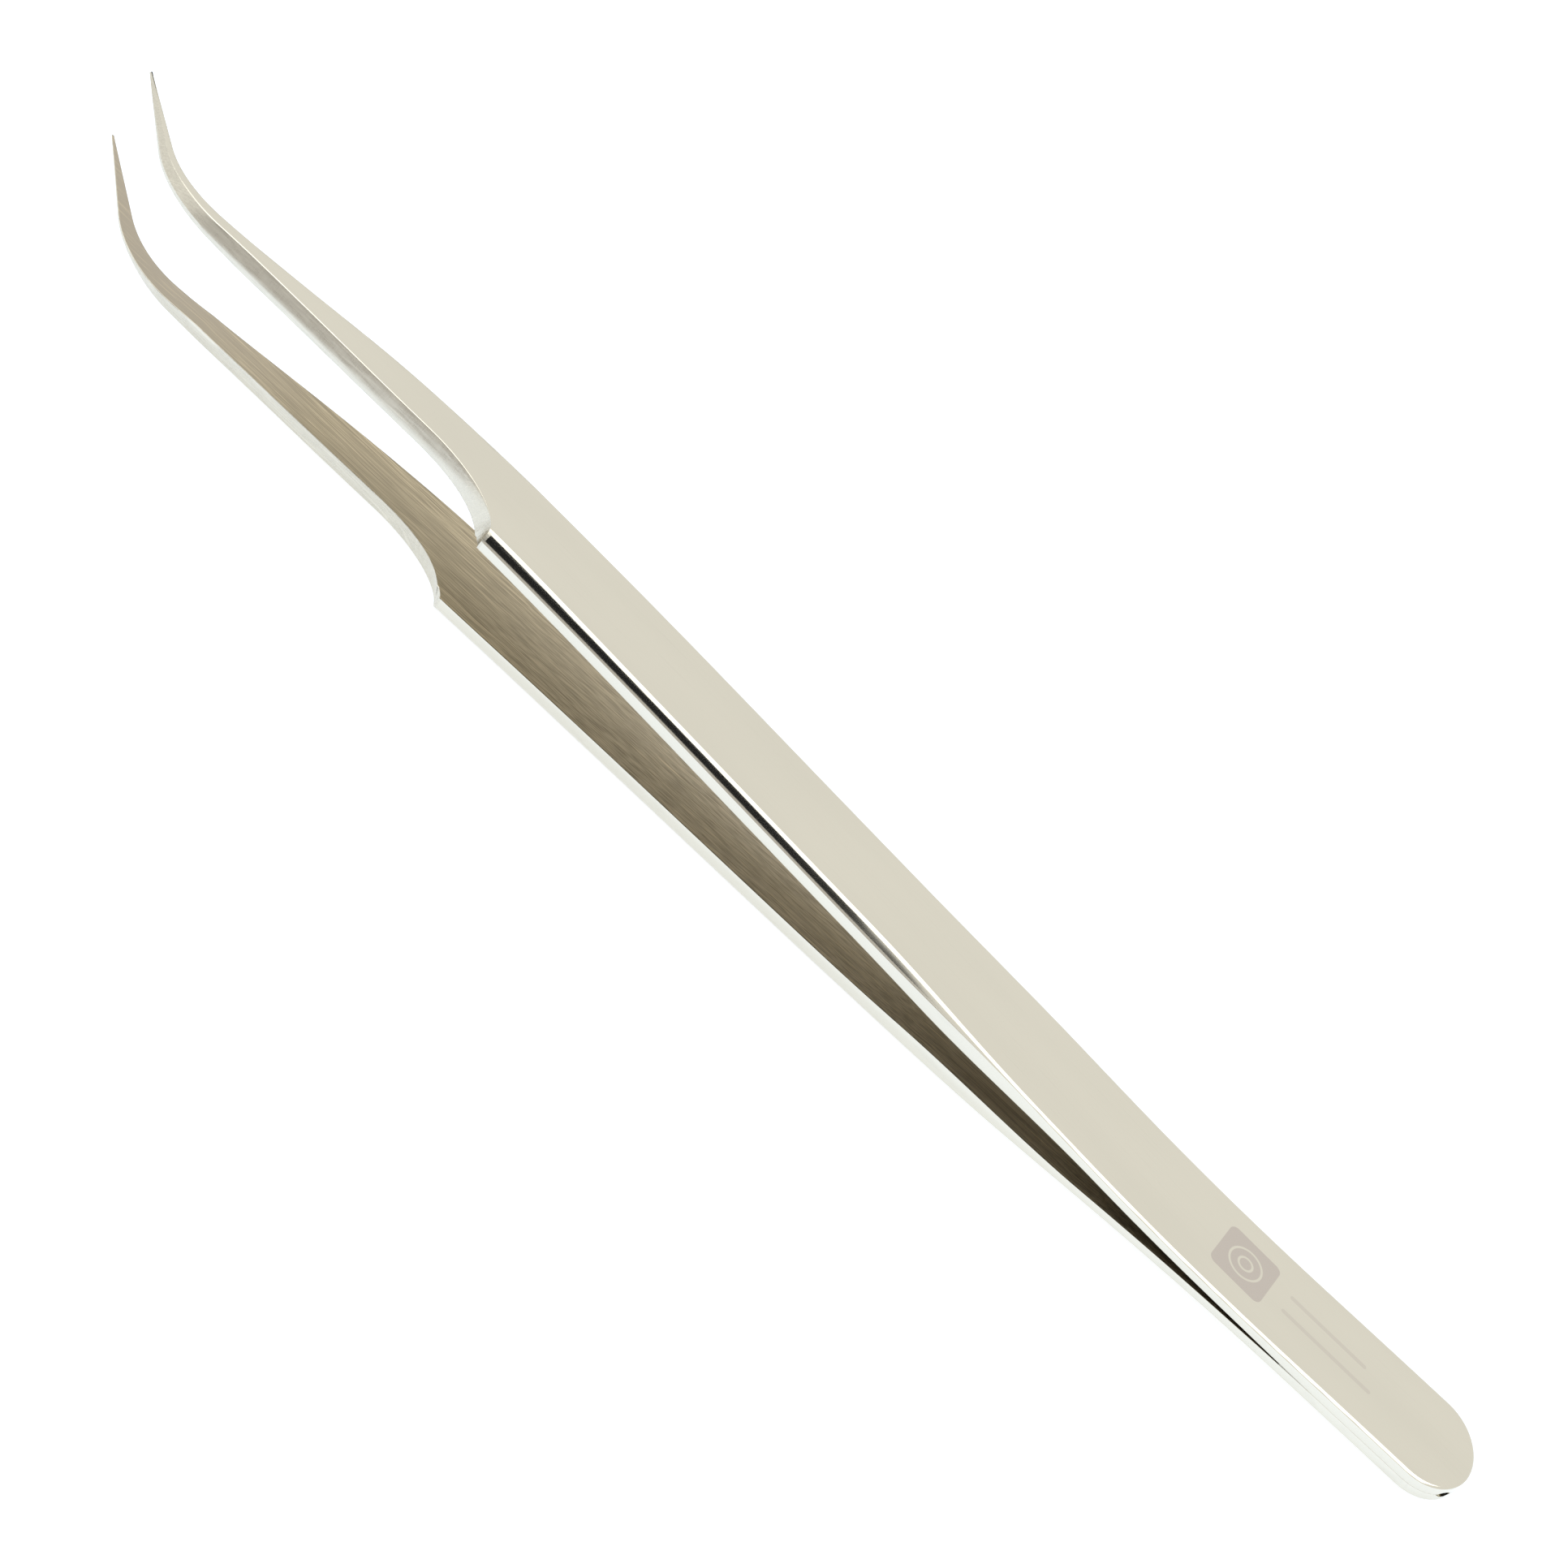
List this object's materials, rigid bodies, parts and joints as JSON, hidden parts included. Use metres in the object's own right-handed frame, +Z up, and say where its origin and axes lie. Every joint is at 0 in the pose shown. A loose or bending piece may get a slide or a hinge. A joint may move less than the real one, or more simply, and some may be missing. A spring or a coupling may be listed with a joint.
{
  "type": "curved needle-point tweezers",
  "caption": "Curved needle-point tweezers in polished steel: bowed spring blades welded at the butt, with a stepped shoulder, slim neck and fine hooked tips.",
  "frame": {"origin": "on the surface the tweezers lie on, under the middle of their bounding box", "axes": "+X from the butt towards the tips, +Y towards the belly edge with the shoulder step, +Z up from the lower blade to the upper blade"},
  "size_m": [0.138, 0.015, 0.0096],
  "materials": {
    "blade_steel": "satin-polished outside, brushed along its length inside",
    "weld_steel": "ground weld"
  },
  "bodies": {
    "root": {"upper_tang": "blade_steel", "upper_rear_leaf": "blade_steel", "lower_tang": "blade_steel", "lower_rear_leaf": "blade_steel", "weld_bead_back": "weld_steel", "weld_bead_belly": "weld_steel", "weld_nugget_1": "weld_steel", "weld_nugget_2": "weld_steel"},
    "upper_arm": {"upper_front_leaf": "blade_steel", "upper_grip": "blade_steel", "upper_jaw": "blade_steel"},
    "lower_arm": {"lower_front_leaf": "blade_steel", "lower_grip": "blade_steel", "lower_jaw": "blade_steel"}
  },
  "joints": [
    {"name": "upper_flex", "type": "hinge", "parent": "root", "child": "upper_arm", "pos_m": [-0.03656, 0.00292, 0.00313], "axis": [0, 1, 0], "range_deg": [0, 1.7], "stiffness_Nm_per_rad": 2.1},
    {"name": "lower_flex", "type": "hinge", "parent": "root", "child": "lower_arm", "pos_m": [-0.03649, 0.00292, 0.00109], "axis": [0, 1, 0], "range_deg": [-1.7, 0], "stiffness_Nm_per_rad": 2.1}
  ],
  "couplings": [
    {"joint": "lower_flex", "follows": "upper_flex", "ratio": -1}
  ]
}
